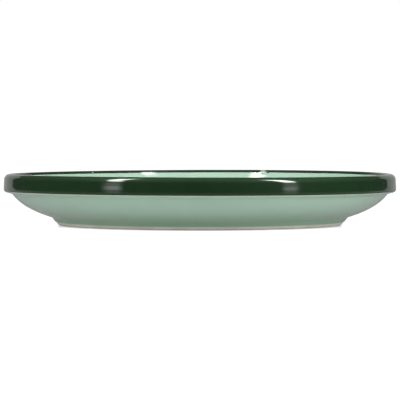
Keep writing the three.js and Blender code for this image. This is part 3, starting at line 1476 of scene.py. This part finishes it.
@dataclass(frozen=True)
class GlowCard:
    """A small dim card near the table that shows only as a soft patch in the glaze."""

    name: str
    azimuth: float
    elevation: float
    width: float
    height: float
    brightness: float
    fade_left: float
    fade_right: float
    line: float = 0.46
    line_width: float = 0.075
    upper_share: float = 0.46
    lower_share: float = 0.24
    top_fade: float = 0.15
    distance: float = 1.5

    def build(self) -> None:
        """Stands the card up, facing the saucer."""
        middle = spot_round(self.azimuth, self.elevation, self.distance)
        side = Vector((-middle.y, middle.x, 0)).normalized() * self.width / 2
        rise = Vector((0, 0, self.height / 2))
        corners = [middle - side - rise, middle + side - rise, middle + side + rise, middle - side + rise]
        mesh = new_mesh(self.name, corners, [(3, 2, 1, 0)])
        spread = mesh.uv_layers.new(name="across")
        for corner, place in zip(spread.data, ((0, 1), (1, 1), (1, 0), (0, 0))):
            corner.uv = place
        card = stand(self.name, mesh, self._material())
        card.visible_camera = False
        card.visible_diffuse = False
        card.visible_shadow = False

    def _material(self) -> Material:
        """Makes a glow with a bright level line, which fades to both sides and upwards.

        Returns:
            The material.
        """
        board = MaterialBoard(self.name)
        across = board.parts(board.add("ShaderNodeUVMap", {"uv_map": "across"}).outputs[0])
        width, height = across["X"], across["Y"]
        strength = board.times(
            board.ramp(width, 0.0, self.fade_left),
            board.ramp(width, 1.0, 1.0 - self.fade_right),
            board.ramp(height, self.line / 2, self.line, self.lower_share),
            board.ramp(height, self.line, self.line + self.line_width, 1.0, self.upper_share),
            board.ramp(height, 1.0, 1.0 - self.top_fade),
            self.brightness,
        )
        clear = board.add("ShaderNodeBsdfTransparent").outputs[0]
        both = board.add("ShaderNodeAddShader", inputs={0: board.glow(strength), 1: clear})
        return board.close(both.outputs[0])


def stand(name: str, mesh: Mesh, material: Material) -> Object:
    """Adds a piece of the studio that isn't part of the saucer.

    Args:
        name: Its name.
        mesh: Its mesh.
        material: Its material.

    Returns:
        Its object.
    """
    mesh.materials.append(material)
    thing = new_object(name, mesh)
    return thing


@dataclass(frozen=True)
class Floor:
    """A round floor that looks white and keeps the saucer's soft shadow.

    The gloss fields say how bright the saucer's glaze mirrors the floor in front of it, behind it and
    far off. The contact fields paint a contact shadow: the floor's white darkens close to the foot ring,
    in front and behind. The foot share fields paint a little shade into the floor's glow by the foot.
    """

    radius: float = 4.0
    tone: float = 0.36
    white: float = 0.97
    shadow: float = 0.14
    bounce: float = 0.4
    front_in_gloss: float = 0.2
    back_in_gloss: float = 0.3
    far_in_gloss: float = 0.42
    front_to: float = -0.12
    back_from: float = 0.02
    near_to: float = 0.2
    far_from: float = 0.35
    foot_share: float = 0.95
    foot_share_to: float = 0.09
    painted_contact_shadow: float = 0.47
    contact_from: float = 0.072
    contact_to: float = 0.083
    contact_side: float = 0.07

    def build(self) -> None:
        """Lays the floor."""
        rim = [spot_round(360 * step / FLOOR_SIDES, 0, self.radius) for step in range(FLOOR_SIDES)]
        faces = [(0, step + 1, (step + 1) % FLOOR_SIDES + 1) for step in range(FLOOR_SIDES)]
        stand("floor", new_mesh("floor", [(0, 0, 0), *rim], faces), self._material())

    def _material(self) -> Material:
        """Makes the floor's surface, which each kind of ray sees in its own way.

        Returns:
            The material.
        """
        board = MaterialBoard("pale_floor")
        seen = board.rays("Is Camera Ray", "Is Transmission Ray")
        mirrored = board.rays("Is Glossy Ray")
        tone = board.mix(seen, grey(self.tone), grey(self.shadow))
        tone = board.mix(mirrored, tone, grey(0.0))
        matt = board.add("ShaderNodeBsdfDiffuse", inputs={"Color": tone}).outputs[0]
        place = board.place()
        away = board.vector("LENGTH", place)
        parts = board.parts(place)
        near = board.ramp(
            parts["Y"], self.front_to, self.back_from, self.front_in_gloss, self.back_in_gloss
        )
        level = board.ramp(away, self.near_to, self.far_from, near, self.far_in_gloss)
        # Painted shade: the floor's glow, as light and in the glaze, is a little dimmer close to the foot
        # ring
        open_floor = board.ramp(away, self.contact_from, self.foot_share_to, self.foot_share)
        # Painted contact shadow: the white that the camera sees darkens close to the foot ring, in front
        # and behind
        across = board.ramp(board.math("ABSOLUTE", parts["X"]), self.contact_from, self.contact_side)
        contact = board.times(across, board.ramp(away, self.contact_to, self.contact_from))
        shown = board.math("MULTIPLY_ADD", contact, -self.painted_contact_shadow, self.white)
        strength = board.math("ADD", board.times(mirrored, open_floor, level), board.times(seen, shown))
        spread = board.times(board.rays("Is Diffuse Ray"), open_floor)
        strength = board.math("MULTIPLY_ADD", spread, self.bounce, strength)
        lit = board.add("ShaderNodeAddShader", inputs={0: matt, 1: board.glow(strength)}).outputs[0]
        clear = board.add("ShaderNodeBsdfTransparent").outputs[0]
        below = board.times(board.add("ShaderNodeNewGeometry").outputs["Backfacing"], seen)
        return board.close(board.choice(below, lit, clear))


@dataclass(frozen=True)
class Backdrop:
    """A curved white sheet behind the saucer."""

    radius: float = 3.0
    half_angle: float = 40.4
    height: float = 1.2
    tone: float = 0.8
    in_gloss: float = 0.42

    def build(self) -> None:
        """Stands the sheet up."""
        foot = []
        for step in range(BACKDROP_SIDES + 1):
            angle = 180 + self.half_angle * (2 * step / BACKDROP_SIDES - 1)
            foot.append(spot_round(angle, 0, self.radius))
        top = [place + Vector((0, 0, self.height)) for place in foot]
        row = len(foot)
        faces = [(step, step + row, step + row + 1, step + 1) for step in range(BACKDROP_SIDES)]
        mesh = new_mesh("backdrop", foot + top, faces)
        board = MaterialBoard("white_backdrop")
        seen = board.rays("Is Camera Ray", "Is Glossy Ray", "Is Transmission Ray")
        matt = board.add("ShaderNodeBsdfDiffuse", inputs={"Color": grey(self.tone)}).outputs[0]
        strength = board.mix(board.rays("Is Glossy Ray"), 1.0, self.in_gloss, kind="FLOAT")
        stand("backdrop", mesh, board.close(board.choice(seen, matt, board.glow(strength))))


@dataclass(frozen=True)
class Room:
    """The room's soft even light, brighter from above, and its white background."""

    side: float = 0.02
    top: float = 1.07
    top_from: float = 0.2
    in_gloss: float = 0.025

    def build(self) -> None:
        """Makes the world's light."""
        world = bpy.data.worlds.new("studio")
        bpy.context.scene.world = world
        world.use_nodes = True
        board = NodeBoard(world.node_tree)
        way = board.add("ShaderNodeTexCoord").outputs["Generated"]
        room = board.ramp(board.parts(way)["Z"], self.top_from, 1.0, self.side, self.top)
        fill = board.mix(board.rays("Is Glossy Ray"), room, self.in_gloss, kind="FLOAT")
        level = board.mix(board.rays("Is Camera Ray", "Is Transmission Ray"), fill, 1.0, kind="FLOAT")
        light = board.add("ShaderNodeBackground", inputs={"Color": grey(1.0), "Strength": level})
        board.add("ShaderNodeOutputWorld", inputs={"Surface": light.outputs[0]})


@dataclass(frozen=True)
class Studio:
    """A plain pale floor, a white backdrop, two tall soft lamps and two dim cards."""

    floor: Floor = Floor()
    backdrop: Backdrop = Backdrop()
    room: Room = Room()
    lamps: tuple[SoftBox, ...] = (
        SoftBox("lamp_left", -50, 42, 0.07, 0.42, roll=15.5, brightness=21.0, distance=0.354),
        SoftBox("lamp_right", 46.3, 33.5, 0.064, 0.34, roll=-1, brightness=29.0, distance=0.35),
    )
    cards: tuple[GlowCard, ...] = (
        GlowCard("card_left", -50, 4.6, 0.42, 0.24, brightness=3.1, fade_left=0.5, fade_right=0.34),
        GlowCard("card_right", 51.8, 4.6, 0.345, 0.24, brightness=2.45, fade_left=0.34, fade_right=0.4),
    )

    def build(self) -> None:
        """Sets up the floor, the backdrop, the lamps and the room's light."""
        for thing in (self.floor, self.backdrop, *self.lamps, *self.cards, self.room):
            thing.build()
            log.info("studio: %s", getattr(thing, "name", type(thing).__name__))


@dataclass(frozen=True)
class Viewpoint:
    """The camera: low over the table, far off, with a long lens."""

    distance: float = 1.2993
    height: float = 52.1 * MM
    side: float = 0.036 * MM
    dip: float = 1.747
    lens: float = 229.07
    sensor: float = 36.0
    nearest: float = 0.05
    farthest: float = 50.0

    def build(self) -> None:
        """Places the camera and makes it the scene's own."""
        optics = bpy.data.cameras.new("camera")
        optics.sensor_fit = "HORIZONTAL"
        optics.sensor_width = self.sensor
        optics.lens = self.lens
        optics.clip_start = self.nearest
        optics.clip_end = self.farthest
        camera = new_object("camera", optics)
        camera.location = (self.side, -self.distance, self.height)
        camera.rotation_euler = (math.radians(90 - self.dip), 0, 0)
        bpy.context.scene.camera = camera


def main() -> None:
    """Builds the camera, the saucer and the studio."""
    logging.basicConfig(level=logging.INFO, format="%(message)s")
    bpy.context.scene.view_settings.view_transform = "Standard"
    Viewpoint().build()
    PlantSaucer().build()
    Studio().build()


if __name__ == "__main__":
    main()
